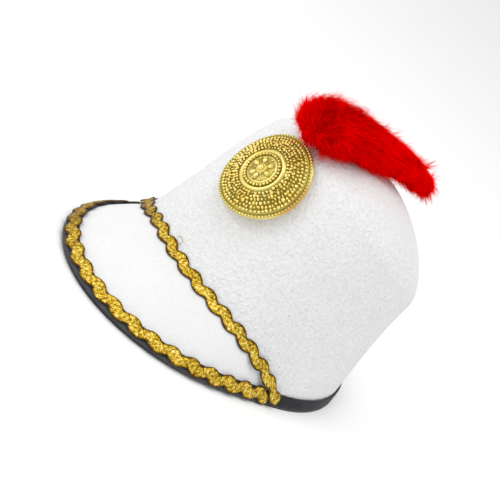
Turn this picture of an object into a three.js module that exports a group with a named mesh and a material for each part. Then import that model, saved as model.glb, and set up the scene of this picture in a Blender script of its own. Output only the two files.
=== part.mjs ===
// A marching band hat: a white felt bell with a wrapped peak, a black bound edge,
// gold ric-rac braid, a round gold badge and a red plume laid back over the top.
// Millimetres, +Z up. The wearer faces -Y and the wearer's left is +X.
// The hat stands on its bound edge, which lies flat in the plane z = 0.
import * as THREE from "three";

// ---------------------------------------------------------------- felt
const FELT = 2.2; // wall of the crown and the peak
const GAP = 0.3; // air between neighbouring pieces

// The crown is shaped on a block whose axis leans back from the hem's plane.
const BLOCK_LEAN = 0.3766; // hem plane's rise per mm along the block's Y
const HALF_WIDTH = 88; // side to side, at block height 0
const DEPTH_RATIO = 1.16; // front to back over side to side
const DEPTH_EXTRA = 4.03;
const WALL_TAPER = -0.1543; // half width lost per mm of height
const WALL_BOW = 0.0001;
const FLARE = 2.74; // the bell's flare at the hem
const FLARE_HEIGHT = 25;
const FLARE_START = -5;
const SHOULDER = 100.5; // block height where the dome starts
const TOP = 140.4; // block height of the dome's crown
const DOME_POWER = 1.704; // 2 is an ellipse, less is more pointed
const CENTRE_SHIFT = -0.3107; // section centre moves forward with height
const PULL_BACK = 26.15; // the dome is pulled back above PULL_START
const PULL_START = 60;

// Where the peak joins the crown: block height of the line by angle from the front.
const JOIN_LINE = [
  { deg: 0, height: -2.6 },
  { deg: 15, height: -1.8 },
  { deg: 30, height: 0.1 },
  { deg: 45, height: 1.3 },
  { deg: 60, height: -0.9 },
  { deg: 66, height: -3.6 },
  { deg: 72, height: -7.5 },
  { deg: 78, height: -12.9 },
  { deg: 84, height: -19.6 },
];

// The peak's edge in the hem's plane.
const PEAK_REACH = 41.5; // beyond the crown's own foot, at the front
const PEAK_END = 72.1; // degrees from the front where it dies out
const PEAK_POWER = 1.82; // how quickly it dies out
const PEAK_CAMBER = 1.2; // how far the peak bows up between join and edge
const PEAK_SIDE_END = 70.5; // degrees, the felt peak's last section
const RIGHT_DROP = 4.5; // how much lower the join runs on the wearer's right

// ---------------------------------------------------------------- edge binding
const BIND_WIDTH = 10; // outside leg
const BIND_INSIDE = 9; // inside leg
const BIND_THICK = 1.2;
const HEM_INSET = 2.1; // felt stops this far short of the binding's fold

// ---------------------------------------------------------------- ric-rac braid
const BRAID_WIDTH = 8.8;
const BRAID_THICK = 1.0;
const BRAID_SWING = 1.5; // half of the wave's height
const PEAK_BRAID_FROM_EDGE = 5.6;
const PEAK_BRAID_PERIOD = 15.2;
const PEAK_BRAID_SHIFT = 0.16; // share of a wave
const JOIN_BRAID_BELOW = 0.6; // its middle line under the join
const JOIN_BRAID_PERIOD = 14.7;
const JOIN_BRAID_SHIFT = 0.53;
const BRAID_STEPS = 6; // sections in one wave
const BRAID_LOWEST = 0.6; // the braid's ends stop short of the ground

// ---------------------------------------------------------------- badge
const BADGE_HEIGHT = 72.7; // block height of its centre, on the front line
const BADGE_BEND = 105; // radius that the plate is bent to, about its upright
const BADGE_TURN = -6.9; // degrees about its upright, away from the plume
const BADGE_TIP = 5; // degrees that its face leans up
const BADGE_SIDE = -3.3; // off the front line, to the wearer's right
const BADGE_BACK_GAP = 0.6;
// Front of the plate: radius and height above the back, from the rim to the boss.
const BADGE_FRONT = [
  { r: 31.4, h: 0.3 },
  { r: 31.6, h: 1.2 },
  { r: 30.6, h: 2.2 },
  { r: 28.9, h: 2.6 },
  { r: 25.5, h: 3.6 },
  { r: 19.4, h: 5.6 },
  { r: 14.6, h: 7.2 },
  { r: 13.4, h: 6.6 },
  { r: 9.9, h: 7.2 },
  { r: 7.2, h: 8.0 },
  { r: 3.0, h: 8.8 },
];
const BADGE_TOP = 9.6;
const BADGE_SIDES = 40;

// ---------------------------------------------------------------- plume
// Middle line of the plume's outer form, and its radius.
const PLUME = [
  { x: -1.6, y: -80.8, z: 146.6, r: 4.0 },
  { x: -3.1, y: -78.7, z: 151.1, r: 12.5 },
  { x: -4.8, y: -70.3, z: 156.2, r: 17.0 },
  { x: 0.9, y: -56.2, z: 160.1, r: 17.0 },
  { x: 4.7, y: -33.6, z: 161.1, r: 14.5 },
  { x: 6.8, y: -7.5, z: 159.5, r: 12.5 },
  { x: 5.9, y: 20.0, z: 157.0, r: 10.0 },
  { x: 6.9, y: 36.5, z: 154.5, r: 7.0 },
  { x: 11.3, y: 48.0, z: 152.3, r: 3.0 },
];
const PLUME_SIDES = 16;
const PLUME_STEPS = 16;
const PLUME_CLEAR = 0.9;

// ================================================================= helpers
const V = (x, y, z) => new THREE.Vector3(x, y, z);
const rad = (d) => (d * Math.PI) / 180;
const clamp = (v, a, b) => Math.min(b, Math.max(a, v));
const smooth = (t) => {
  const u = clamp(t, 0, 1);
  return u * u * (3 - 2 * u);
};

// A smooth curve through a table's rows, by one named column.
function tableCurve(rows, key, value) {
  const xs = rows.map((r) => r[key]);
  const ys = rows.map((r) => r[value]);
  return (x) => {
    const n = xs.length;
    let i = 0;
    while (i < n - 2 && x > xs[i + 1]) i++;
    const t = (x - xs[i]) / (xs[i + 1] - xs[i]);
    const slope = (k) => {
      if (k <= 0) return key === "deg" ? 0 : (ys[1] - ys[0]) / (xs[1] - xs[0]);
      if (k >= n - 1) return (ys[n - 1] - ys[n - 2]) / (xs[n - 1] - xs[n - 2]);
      return (ys[k + 1] - ys[k - 1]) / (xs[k + 1] - xs[k - 1]);
    };
    const w = xs[i + 1] - xs[i];
    const t2 = t * t;
    const t3 = t2 * t;
    return (
      (2 * t3 - 3 * t2 + 1) * ys[i] +
      (t3 - 2 * t2 + t) * w * slope(i) +
      (-2 * t3 + 3 * t2) * ys[i + 1] +
      (t3 - t2) * w * slope(i + 1)
    );
  };
}
const joinHeightOf = tableCurve(JOIN_LINE, "deg", "height");

// ================================================================= the crown's surface
const COS = 1 / Math.hypot(1, BLOCK_LEAN);
const SIN = BLOCK_LEAN * COS;

function blockHalfWidth(h) {
  const wall =
    HALF_WIDTH +
    WALL_TAPER * h +
    WALL_BOW * h * h +
    FLARE * Math.exp(-(h - FLARE_START) / FLARE_HEIGHT);
  const t = clamp((h - SHOULDER) / (TOP - SHOULDER), 0, 1);
  return wall * Math.pow(1 - Math.pow(t, DOME_POWER), 1 / DOME_POWER);
}

// phi is the angle from the front (+ to the wearer's left), h the block height.
function crownPoint(phi, h) {
  const w = blockHalfWidth(h);
  const depth = w * DEPTH_RATIO + (w > 0 ? DEPTH_EXTRA * Math.min(1, w / 60) : 0);
  const t = clamp((h - PULL_START) / (TOP - PULL_START), 0, 1);
  const x = w * Math.sin(phi);
  const y = -depth * Math.cos(phi) + CENTRE_SHIFT * h + PULL_BACK * t * t;
  // from the block's frame into the resting frame
  return V(x, y * COS + h * SIN, -y * SIN + h * COS);
}

// Block height where the column of angle phi stands at height z.
function heightAt(phi, z) {
  let lo = -70;
  let hi = 90;
  for (let i = 0; i < 40; i++) {
    const mid = (lo + hi) / 2;
    if (crownPoint(phi, mid).z < z) lo = mid;
    else hi = mid;
  }
  return (lo + hi) / 2;
}

function crownNormal(phi, h) {
  const a = crownPoint(phi + 1e-3, h).sub(crownPoint(phi - 1e-3, h));
  const b = crownPoint(phi, Math.min(h + 0.1, TOP - 0.001)).sub(
    crownPoint(phi, Math.min(h, TOP - 0.101) - 0.1),
  );
  return a.cross(b).normalize();
}

// ================================================================= the peak's surface
// The felt was pressed a little lower on the wearer's right.
const joinDrop = (deg) => RIGHT_DROP * smooth((-deg - 14) / 24) * (1 - smooth((-deg - 54) / 14));
const joinHeight = (phi) => joinHeightOf(Math.abs((phi * 180) / Math.PI)) - joinDrop((phi * 180) / Math.PI);
const joinPoint = (phi) => crownPoint(phi, joinHeight(phi));

// The edge of the whole hat, on its outer surface.
function hemPoint(phi) {
  const base = crownPoint(phi, heightAt(phi, 0));
  const t = clamp(Math.abs(phi) / rad(PEAK_END), 0, 1);
  const reach = PEAK_REACH * Math.pow(Math.cos((t * Math.PI) / 2), PEAK_POWER);
  if (reach < 1e-6) return base.setZ(0);
  const r = Math.hypot(base.x, base.y);
  const edge = base.multiplyScalar((r + reach) / r).setZ(0);
  const up = joinPoint(phi);
  const flat = Math.hypot(up.x - edge.x, up.y - edge.y);
  const cosine = flat / Math.hypot(flat, up.z);
  // a sloping edge is thick enough to lift its upper face off the ground
  edge.z = Math.max(0, 3.35 * cosine - 0.4) * smooth(reach / 4);
  return edge;
}

// One column of the hat's outer surface, measured up from the hem.
const columns = new Map();
function column(phi) {
  const key = phi.toFixed(6);
  if (columns.has(key)) return columns.get(key);
  const hem = hemPoint(phi);
  const rows = [hem.clone()];
  let join = 0;
  let start = heightAt(phi, 0);
  if (Math.abs(phi) < rad(PEAK_END) && joinPoint(phi).z > 2.5) {
    const up = joinPoint(phi);
    const rise = up.clone().sub(hem);
    join = rise.length();
    const steps = 6;
    const bow = PEAK_CAMBER * smooth((join - 15) / 30);
    const out = V(Math.sin(phi), -Math.cos(phi), 0);
    const lift = out
      .sub(rise.clone().multiplyScalar(out.dot(rise) / rise.lengthSq()))
      .normalize();
    for (let i = 1; i <= steps; i++) {
      const t = i / steps;
      rows.push(
        hem
          .clone()
          .addScaledVector(rise, t)
          .addScaledVector(lift, bow * 4 * t * (1 - t)),
      );
    }
    start = joinHeight(phi);
  }
  let h = start;
  for (let i = 0; i < 12; i++) {
    h += 4;
    rows.push(crownPoint(phi, h));
  }
  const dist = [0];
  for (let i = 1; i < rows.length; i++)
    dist.push(dist[i - 1] + rows[i].distanceTo(rows[i - 1]));
  const c = { rows, dist, join: join ? dist[6] : 0 };
  columns.set(key, c);
  return c;
}

// Point of the outer surface, d mm up from the hem in the column of angle phi.
function surface(phi, d) {
  const c = column(phi);
  if (d <= 0) {
    const dir = c.rows[1].clone().sub(c.rows[0]).normalize();
    return c.rows[0].clone().addScaledVector(dir, d);
  }
  let i = 0;
  while (i < c.dist.length - 2 && d > c.dist[i + 1]) i++;
  const t = (d - c.dist[i]) / (c.dist[i + 1] - c.dist[i]);
  return c.rows[i].clone().lerp(c.rows[i + 1], t);
}

// Outward normal there, rounded over a few mm so that it turns smoothly at the join.
function surfaceNormal(phi, d, spread = 2.5) {
  const e = rad(0.8);
  const a = surface(phi + e, d).sub(surface(phi - e, d));
  const b = surface(phi, d + spread).sub(surface(phi, Math.max(d - spread, 0)));
  return a.cross(b).normalize();
}

// ================================================================= solids
// Every solid is a list of points and of triangles, turned to face outwards.
function toMesh(name, points, faces, colour, roughness, metalness) {
  let volume = 0;
  for (const [a, b, c] of faces)
    volume += points[a].dot(points[b].clone().cross(points[c]));
  const flat = new Float32Array(faces.length * 9);
  faces.forEach((f, i) => {
    const order = volume > 0 ? f : [f[0], f[2], f[1]];
    order.forEach((k, j) => {
      flat[i * 9 + j * 3] = points[k].x;
      flat[i * 9 + j * 3 + 1] = points[k].y;
      flat[i * 9 + j * 3 + 2] = points[k].z;
    });
  });
  const geometry = new THREE.BufferGeometry();
  geometry.setAttribute("position", new THREE.BufferAttribute(flat, 3));
  geometry.computeVertexNormals();
  const material = new THREE.MeshStandardMaterial({
    color: colour,
    roughness,
    metalness,
  });
  const mesh = new THREE.Mesh(geometry, material);
  mesh.name = name;
  return mesh;
}

// A solid lofted through rings of equal length: a loop, or a bar with closed ends.
function loft(rings, looped) {
  const points = rings.flat();
  const n = rings[0].length;
  const faces = [];
  const last = looped ? rings.length : rings.length - 1;
  for (let i = 0; i < last; i++) {
    const a = i * n;
    const b = ((i + 1) % rings.length) * n;
    for (let k = 0; k < n; k++) {
      const l = (k + 1) % n;
      faces.push([a + k, a + l, b + l], [a + k, b + l, b + k]);
    }
  }
  if (!looped) {
    for (const [start, turn] of [
      [0, 1],
      [(rings.length - 1) * n, 0],
    ]) {
      const centre = points.length;
      const middle = V(0, 0, 0);
      for (let k = 0; k < n; k++) middle.add(points[start + k]);
      points.push(middle.multiplyScalar(1 / n));
      for (let k = 0; k < n; k++) {
        const l = (k + 1) % n;
        faces.push(
          turn
            ? [centre, start + l, start + k]
            : [centre, start + k, start + l],
        );
      }
    }
  }
  return [points, faces];
}

// ---------------------------------------------------------------- crown
function makeCrown() {
  const angles = [];
  const side = PEAK_SIDE_END;
  for (let d = -180; d < 180; d += 6) {
    if (Math.abs(Math.abs(d) - side) > 2) angles.push(d);
  }
  for (const s of [-1, 1])
    angles.push(s * (side - 0.2), s * (side + 0.5), s * (side - 2.4));
  angles.sort((a, b) => a - b);
  const WALL_ROWS = 7;
  const DOME_ROWS = 8;
  const outer = [];
  const inner = [];
  for (const d of angles) {
    const phi = rad(d);
    const open = Math.abs(d) < side;
    const h0 = open ? joinHeight(phi) + GAP * 0.6 : heightAt(phi, HEM_INSET);
    const out = [];
    const inn = [];
    const row = (h, normal) => {
      const p = crownPoint(phi, h);
      out.push(p);
      inn.push(p.clone().addScaledVector(normal, -FELT));
    };
    for (let i = 0; i < WALL_ROWS; i++) {
      const h = h0 + (SHOULDER - h0) * (i / WALL_ROWS);
      row(h, crownNormal(phi, h));
    }
    for (let i = 0; i < DOME_ROWS; i++) {
      const t = Math.sin(((i / DOME_ROWS) * Math.PI) / 2);
      const h = SHOULDER + (TOP - SHOULDER) * t;
      row(h, crownNormal(phi, h));
    }
    outer.push(out);
    inner.push(inn);
  }
  const rows = WALL_ROWS + DOME_ROWS;
  const n = angles.length;
  const points = [];
  const at = (layer, i, j) => layer * n * rows + (i % n) * rows + j;
  for (const layer of [outer, inner]) for (const c of layer) points.push(...c);
  const apex = crownPoint(0, TOP);
  const top = points.length;
  const up = V(0, 0, 0);
  for (let i = 0; i < n; i++) up.add(crownNormal(rad(angles[i]), TOP - 1));
  points.push(apex, apex.clone().addScaledVector(up.normalize(), -FELT));
  const faces = [];
  for (let i = 0; i < n; i++) {
    for (let j = 0; j < rows - 1; j++) {
      const [a, b, c, d] = [
        at(0, i, j),
        at(0, i + 1, j),
        at(0, i + 1, j + 1),
        at(0, i, j + 1),
      ];
      faces.push([a, b, c], [a, c, d]);
      const [e, f, g, h] = [
        at(1, i, j),
        at(1, i + 1, j),
        at(1, i + 1, j + 1),
        at(1, i, j + 1),
      ];
      faces.push([e, g, f], [e, h, g]);
    }
    faces.push([at(0, i, rows - 1), at(0, i + 1, rows - 1), top]);
    faces.push([at(1, i, rows - 1), top + 1, at(1, i + 1, rows - 1)]);
    faces.push([at(0, i, 0), at(1, i, 0), at(1, i + 1, 0)]);
    faces.push([at(0, i, 0), at(1, i + 1, 0), at(0, i + 1, 0)]);
  }
  return toMesh("crown", points, faces, 0xf4f4f2, 0.95, 0);
}

// ---------------------------------------------------------------- peak
function makePeak() {
  const rings = [];
  const STEPS = 44;
  const ROWS = 5;
  const end = PEAK_SIDE_END - 0.7;
  for (let i = 0; i <= STEPS; i++) {
    const phi = rad(-end + (2 * end * i) / STEPS);
    const c = column(phi);
    const top = [];
    const under = [];
    for (let j = 0; j <= ROWS; j++) {
      const d = HEM_INSET + (c.join - GAP - HEM_INSET) * (j / ROWS);
      const normal = surfaceNormal(phi, Math.min(d, c.join - 2.2), 2);
      const p = surface(phi, d);
      top.push(p);
      under.push(p.clone().addScaledVector(normal, -FELT));
    }
    rings.push([...top, ...under.reverse()]);
  }
  return toMesh("peak", ...loft(rings, false), 0xfafaf8, 0.95, 0);
}

// ---------------------------------------------------------------- edge binding
// A U round the felt's edge, sitting flat on the plane z = 0.
function makeBinding() {
  const STATIONS = 108;
  const out = GAP + BIND_THICK;
  const inn = -(FELT + GAP + BIND_THICK);
  const section = [
    { d: BIND_WIDTH, n: out },
    { d: BIND_WIDTH / 2, n: out },
    { d: 0.4, n: out },
    { d: -0.8, n: out - 0.7 },
    { d: -0.8, n: inn + 0.7 },
    { d: 0.4, n: inn },
    { d: BIND_INSIDE / 2, n: inn },
    { d: BIND_INSIDE, n: inn },
    { d: BIND_INSIDE, n: inn + BIND_THICK },
    { d: BIND_INSIDE / 2, n: inn + BIND_THICK },
    { d: 1.5, n: inn + BIND_THICK },
    { d: 1.5, n: GAP },
    { d: BIND_WIDTH / 2, n: GAP },
    { d: BIND_WIDTH, n: GAP },
  ];
  const rings = [];
  for (let i = 0; i < STATIONS; i++) {
    const phi = rad(-180 + (360 * i) / STATIONS);
    rings.push(
      section.map(({ d, n }) => {
        const p = surface(phi, d);
        const normal = surfaceNormal(phi, Math.max(d, 0), 4);
        p.addScaledVector(normal, n);
        if (p.z < 0.05) p.z = 0;
        return p;
      }),
    );
  }
  return toMesh("edge_binding", ...loft(rings, true), 0x24262b, 0.85, 0);
}

// ---------------------------------------------------------------- ric-rac
// The braid waves about a line across the surface, given by its distance from the hem.
function makeBraid(name, endDegrees, period, shift, lineAt, riseAt) {
  // arc length along the line
  const fine = 240;
  const arc = [0];
  const angle = (i) => rad(-endDegrees + (2 * endDegrees * i) / fine);
  for (let i = 1; i <= fine; i++) {
    const a = surface(angle(i - 1), lineAt(angle(i - 1)));
    const b = surface(angle(i), lineAt(angle(i)));
    arc.push(arc[i - 1] + a.distanceTo(b));
  }
  const length = arc[fine];
  const angleAt = (s) => {
    const x = clamp(s, 0, length);
    let i = 0;
    while (i < fine - 1 && x > arc[i + 1]) i++;
    const t = (x - arc[i]) / (arc[i + 1] - arc[i]);
    return angle(i) + (angle(i + 1) - angle(i)) * t;
  };
  const waves = Math.round(length / period);
  const steps = waves * BRAID_STEPS;
  const rings = [];
  for (let i = 0; i <= steps; i++) {
    const s = (length * i) / steps;
    // counted from the middle of the hat
    const turn = 2 * Math.PI * (waves * (s / length - 0.5) + shift);
    const across = BRAID_SWING * Math.cos(turn);
    const slope = (-BRAID_SWING * Math.sin(turn) * 2 * Math.PI * waves) / length;
    const k = 1 / Math.hypot(1, slope);
    const ring = [];
    for (const [side, lift] of [
      [-1, 0],
      [0, 0],
      [1, 0],
      [1, 1],
      [0, 1],
      [-1, 1],
    ]) {
      const half = (side * BRAID_WIDTH) / 2;
      const phi = angleAt(s - half * slope * k);
      const d = lineAt(phi) + across + half * k;
      const normal = surfaceNormal(phi, Math.max(d, 0.5), 4);
      const p = surface(phi, d).addScaledVector(
        normal,
        riseAt(phi, d) + lift * BRAID_THICK,
      );
      p.z = Math.max(p.z, BRAID_LOWEST);
      ring.push(p);
    }
    rings.push(ring);
  }
  return toMesh(name, ...loft(rings, false), 0xc79a2b, 0.45, 0.6);
}

const overBinding = GAP + BIND_THICK + 0.45;
const PEAK_BRAID_END = 67; // degrees from the front
const JOIN_BRAID_END = 71.5;
const OVER_BRAID = 48; // from here the join's braid rises over the peak's braid

function makePeakBraid() {
  return makeBraid(
    "peak_braid",
    PEAK_BRAID_END,
    PEAK_BRAID_PERIOD,
    PEAK_BRAID_SHIFT,
    () => PEAK_BRAID_FROM_EDGE,
    () => overBinding,
  );
}

function makeJoinBraid() {
  return makeBraid(
    "join_braid",
    JOIN_BRAID_END,
    JOIN_BRAID_PERIOD,
    JOIN_BRAID_SHIFT,
    (phi) => {
      const c = column(phi);
      return (c.join ? c.join : surfaceDistance(phi)) - JOIN_BRAID_BELOW;
    },
    (phi, d) =>
      0.6 +
      (overBinding - 0.6) * smooth((BIND_WIDTH + 7 - d) / 6) +
      (BRAID_THICK + 0.5) * smooth((Math.abs(phi) - rad(OVER_BRAID)) / rad(5)),
  );
}
// Past the peak the line runs on over the crown, down to the hem.
function surfaceDistance(phi) {
  const target = joinPoint(phi).z;
  return Math.max(target, 0.5) * 1.02;
}

// ---------------------------------------------------------------- badge and plume
// How far a point stands outside the crown, along the ray from a point inside it.
const CORE = (() => {
  const h = 55;
  return crownPoint(0, h).add(crownPoint(Math.PI, h)).multiplyScalar(0.5);
})();
function outsideSection(p) {
  const y = p.y * COS - p.z * SIN;
  const h = p.y * SIN + p.z * COS;
  if (h >= TOP) return 2;
  const w = blockHalfWidth(h);
  const depth = w * DEPTH_RATIO + DEPTH_EXTRA * Math.min(1, w / 60);
  const t = clamp((h - PULL_START) / (TOP - PULL_START), 0, 1);
  const centre = CENTRE_SHIFT * h + PULL_BACK * t * t;
  return Math.hypot(p.x / w, (y - centre) / depth);
}
function crownAlong(direction) {
  let lo = 10;
  let hi = 200;
  for (let i = 0; i < 40; i++) {
    const mid = (lo + hi) / 2;
    if (outsideSection(CORE.clone().addScaledVector(direction, mid)) < 1)
      lo = mid;
    else hi = mid;
  }
  return (lo + hi) / 2;
}
function clearance(p) {
  const ray = p.clone().sub(CORE);
  const length = ray.length();
  return length - crownAlong(ray.normalize());
}
function pushOut(p, gap) {
  const short = gap - clearance(p);
  if (short > 0) {
    const ray = p.clone().sub(CORE).normalize();
    p.addScaledVector(ray, short);
  }
  return p;
}

const badgeFrame = (() => {
  const centre = crownPoint(0, BADGE_HEIGHT);
  const out = crownNormal(0, BADGE_HEIGHT);
  const up = crownPoint(0, BADGE_HEIGHT + 12)
    .sub(crownPoint(0, BADGE_HEIGHT - 12))
    .normalize();
  out.sub(up.clone().multiplyScalar(out.dot(up))).normalize();
  const across = up.clone().cross(out).normalize();
  centre.addScaledVector(across, BADGE_SIDE);
  out.applyAxisAngle(up, rad(BADGE_TURN));
  const right = up.clone().cross(out).normalize();
  up.applyAxisAngle(right, rad(-BADGE_TIP));
  out.applyAxisAngle(right, rad(-BADGE_TIP));
  return { centre, out, up, right };
})();

function badgePoint(r, angle, h) {
  const { centre, out, up, right } = badgeFrame;
  const x = r * Math.cos(angle);
  const y = r * Math.sin(angle);
  return centre
    .clone()
    .addScaledVector(right, x)
    .addScaledVector(up, y)
    .addScaledVector(out, h - (x * x) / (2 * BADGE_BEND));
}

function makeBadge() {
  // seat the plate so that its back just clears the crown all over
  let least = Infinity;
  for (let r = 0; r <= 31; r += 3)
    for (let k = 0; k < 24; k++)
      least = Math.min(least, clearance(badgePoint(r, (k * Math.PI) / 12, 0)));
  badgeFrame.centre.addScaledVector(badgeFrame.out, BADGE_BACK_GAP - least);
  const rings = [];
  const ring = (r, h) => {
    const points = [];
    for (let k = 0; k < BADGE_SIDES; k++)
      points.push(badgePoint(r, (2 * Math.PI * k) / BADGE_SIDES, h));
    rings.push(points);
  };
  ring(8, 0);
  ring(20, 0);
  for (const { r, h } of BADGE_FRONT) ring(r, h);
  const [points, faces] = loft(rings, false);
  // the last cap's middle point is the boss's top
  points[points.length - 1].copy(badgePoint(0, 0, BADGE_TOP));
  return toMesh("badge", points, faces, 0xc9a227, 0.3, 0.9);
}

function makePlume() {
  const line = new THREE.CatmullRomCurve3(
    PLUME.map(({ x, y, z }) => V(x, y, z)),
    false,
    "centripetal",
  );
  const radiusAt = (t) => {
    const s = t * (PLUME.length - 1);
    const i = Math.min(PLUME.length - 2, Math.floor(s));
    const f = s - i;
    return PLUME[i].r + (PLUME[i + 1].r - PLUME[i].r) * f;
  };
  const rings = [];
  for (let i = 0; i <= PLUME_STEPS; i++) {
    const t = i / PLUME_STEPS;
    const middle = line.getPoint(t);
    const ahead = line.getTangent(t);
    const side = V(0, 0, 1).cross(ahead).normalize();
    const over = ahead.clone().cross(side).normalize();
    const r = radiusAt(t);
    const ring = [];
    for (let k = 0; k < PLUME_SIDES; k++) {
      const a = (2 * Math.PI * k) / PLUME_SIDES;
      const p = middle
        .clone()
        .addScaledVector(side, r * Math.cos(a))
        .addScaledVector(over, r * Math.sin(a));
      ring.push(pushOut(p, PLUME_CLEAR));
    }
    rings.push(ring);
  }
  return toMesh("plume", ...loft(rings, false), 0xd00808, 0.9, 0);
}

// ================================================================= the hat
const hat = new THREE.Group();
hat.name = "marching_band_hat";
for (const piece of [
  makeCrown(),
  makePeak(),
  makeBinding(),
  makePeakBraid(),
  makeJoinBraid(),
  makeBadge(),
  makePlume(),
])
  hat.add(piece);

// The origin is the middle of the hat's footprint, on the plane it stands on.
const box = new THREE.Box3().setFromObject(hat);
hat.position.set(
  -(box.min.x + box.max.x) / 2,
  -(box.min.y + box.max.y) / 2,
  -box.min.z,
);
hat.updateMatrixWorld(true);

export default hat;
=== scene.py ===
import math

import bpy
import numpy as np
from mathutils import Matrix


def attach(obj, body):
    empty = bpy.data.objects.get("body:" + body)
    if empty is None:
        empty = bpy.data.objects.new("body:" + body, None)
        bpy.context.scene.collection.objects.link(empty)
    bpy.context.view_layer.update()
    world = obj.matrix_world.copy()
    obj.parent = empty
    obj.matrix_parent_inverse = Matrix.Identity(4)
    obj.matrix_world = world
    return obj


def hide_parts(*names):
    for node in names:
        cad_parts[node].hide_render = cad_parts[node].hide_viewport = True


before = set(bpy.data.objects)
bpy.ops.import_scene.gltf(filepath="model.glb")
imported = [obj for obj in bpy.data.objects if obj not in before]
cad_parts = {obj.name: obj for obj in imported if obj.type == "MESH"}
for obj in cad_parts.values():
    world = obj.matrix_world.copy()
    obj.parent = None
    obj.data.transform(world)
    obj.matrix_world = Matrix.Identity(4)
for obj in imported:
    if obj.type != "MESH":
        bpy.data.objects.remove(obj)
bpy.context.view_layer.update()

# A marching band hat: a white felt bell with a wrapped peak, a black bound edge,
# gold ric-rac braid, a round gold badge and a red plume laid back over the top.
# Shapes are worked out in millimetres, in the frame that the hat was drawn in, and
# moved to the part's frame (metres) when a mesh is made.
MM = 0.001
MOVE_X, MOVE_Y = 0.09, 34.25  # drawing frame to part frame
RNG = np.random.default_rng(20417)


def rad(d):
    return np.radians(d)


def smooth(t):
    u = np.clip(t, 0.0, 1.0)
    return u * u * (3.0 - 2.0 * u)


def unit(v):
    return v / np.maximum(np.linalg.norm(v, axis=-1, keepdims=True), 1e-12)


# ================================================================= noise
def _hash(i, j, k, seed):
    h = (i * 374761393 + j * 668265263 + k * 2147483647 + seed * 1274126177) & 0xFFFFFFFF
    h = ((h ^ (h >> 13)) * 1274126177) & 0xFFFFFFFF
    return ((h ^ (h >> 16)) & 0xFFFF) / 32767.5 - 1.0


def noise(points, size, seed=0):
    """Smooth value noise from -1 to 1, with features of that size in mm."""
    q = np.asarray(points, float) / size + 1000.0
    base = np.floor(q).astype(np.int64)
    f = q - base
    f = f * f * (3.0 - 2.0 * f)
    out = 0.0
    for a in (0, 1):
        wa = f[..., 0] if a else 1.0 - f[..., 0]
        for b in (0, 1):
            wb = f[..., 1] if b else 1.0 - f[..., 1]
            for c in (0, 1):
                wc = f[..., 2] if c else 1.0 - f[..., 2]
                out = out + wa * wb * wc * _hash(base[..., 0] + a, base[..., 1] + b, base[..., 2] + c, seed)
    return out


# ================================================================= the hat's shape
FELT, GAP = 2.2, 0.3
BLOCK_LEAN = 0.3766
SHOULDER, TOP, DOME_POWER = 100.5, 140.4, 1.704
COS = 1.0 / math.hypot(1.0, BLOCK_LEAN)
SIN = BLOCK_LEAN * COS
PEAK_REACH, PEAK_END, PEAK_POWER, PEAK_CAMBER, PEAK_SIDE_END = 41.5, 72.1, 1.82, 1.2, 70.5
BIND_WIDTH, BIND_INSIDE, BIND_THICK, HEM_INSET = 10.0, 9.0, 1.2, 2.1
JOIN_DEG = np.array([0, 15, 30, 45, 60, 66, 72, 78, 84], float)
JOIN_HEIGHT = np.array([-2.6, -1.8, 0.1, 1.3, -0.9, -3.6, -7.5, -12.9, -19.6])
RIGHT_DROP = 4.5  # how much lower the join runs on the wearer's right


def half_width(h):
    wall = 88.0 - 0.1543 * h + 0.0001 * h * h + 2.74 * np.exp(-(h + 5.0) / 25.0)
    t = np.clip((h - SHOULDER) / (TOP - SHOULDER), 0.0, 1.0)
    return wall * np.power(np.maximum(1.0 - t**DOME_POWER, 0.0), 1.0 / DOME_POWER)


def crown_point(phi, h):
    """phi is the angle from the front, h the height on the hat block."""
    phi, h = np.broadcast_arrays(np.asarray(phi, float), np.asarray(h, float))
    w = half_width(h)
    depth = w * 1.16 + 4.03 * np.minimum(1.0, w / 60.0)
    t = np.clip((h - 60.0) / (TOP - 60.0), 0.0, 1.0)
    y = -depth * np.cos(phi) - 0.3107 * h + 26.15 * t * t
    return np.stack([w * np.sin(phi), y * COS + h * SIN, -y * SIN + h * COS], -1)


def height_at(phi, z):
    phi = np.asarray(phi, float)
    lo, hi = np.full(phi.shape, -70.0), np.full(phi.shape, 90.0)
    for _ in range(40):
        mid = (lo + hi) / 2.0
        below = crown_point(phi, mid)[..., 2] < z
        lo, hi = np.where(below, mid, lo), np.where(below, hi, mid)
    return (lo + hi) / 2.0


def crown_normal(phi, h):
    a = crown_point(phi + 1e-3, h) - crown_point(phi - 1e-3, h)
    b = crown_point(phi, np.minimum(h + 0.1, TOP - 0.001)) - crown_point(phi, np.minimum(h, TOP - 0.101) - 0.1)
    return unit(np.cross(a, b))


def join_height(phi):
    """A smooth curve through the table of the line where peak meets crown."""
    x = np.abs(np.degrees(phi))
    n = len(JOIN_DEG)
    i = np.clip(np.searchsorted(JOIN_DEG, x, side="left") - 1, 0, n - 2)
    slope = np.empty(n)
    slope[0] = 0.0
    slope[-1] = (JOIN_HEIGHT[-1] - JOIN_HEIGHT[-2]) / (JOIN_DEG[-1] - JOIN_DEG[-2])
    slope[1:-1] = (JOIN_HEIGHT[2:] - JOIN_HEIGHT[:-2]) / (JOIN_DEG[2:] - JOIN_DEG[:-2])
    w = JOIN_DEG[i + 1] - JOIN_DEG[i]
    t = (x - JOIN_DEG[i]) / w
    deg = np.degrees(phi)
    drop = RIGHT_DROP * smooth((-deg - 14.0) / 24.0) * (1.0 - smooth((-deg - 54.0) / 14.0))
    return (
        (2 * t**3 - 3 * t**2 + 1) * JOIN_HEIGHT[i]
        + (t**3 - 2 * t**2 + t) * w * slope[i]
        + (-2 * t**3 + 3 * t**2) * JOIN_HEIGHT[i + 1]
        + (t**3 - t**2) * w * slope[i + 1]
        - drop
    )


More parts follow.
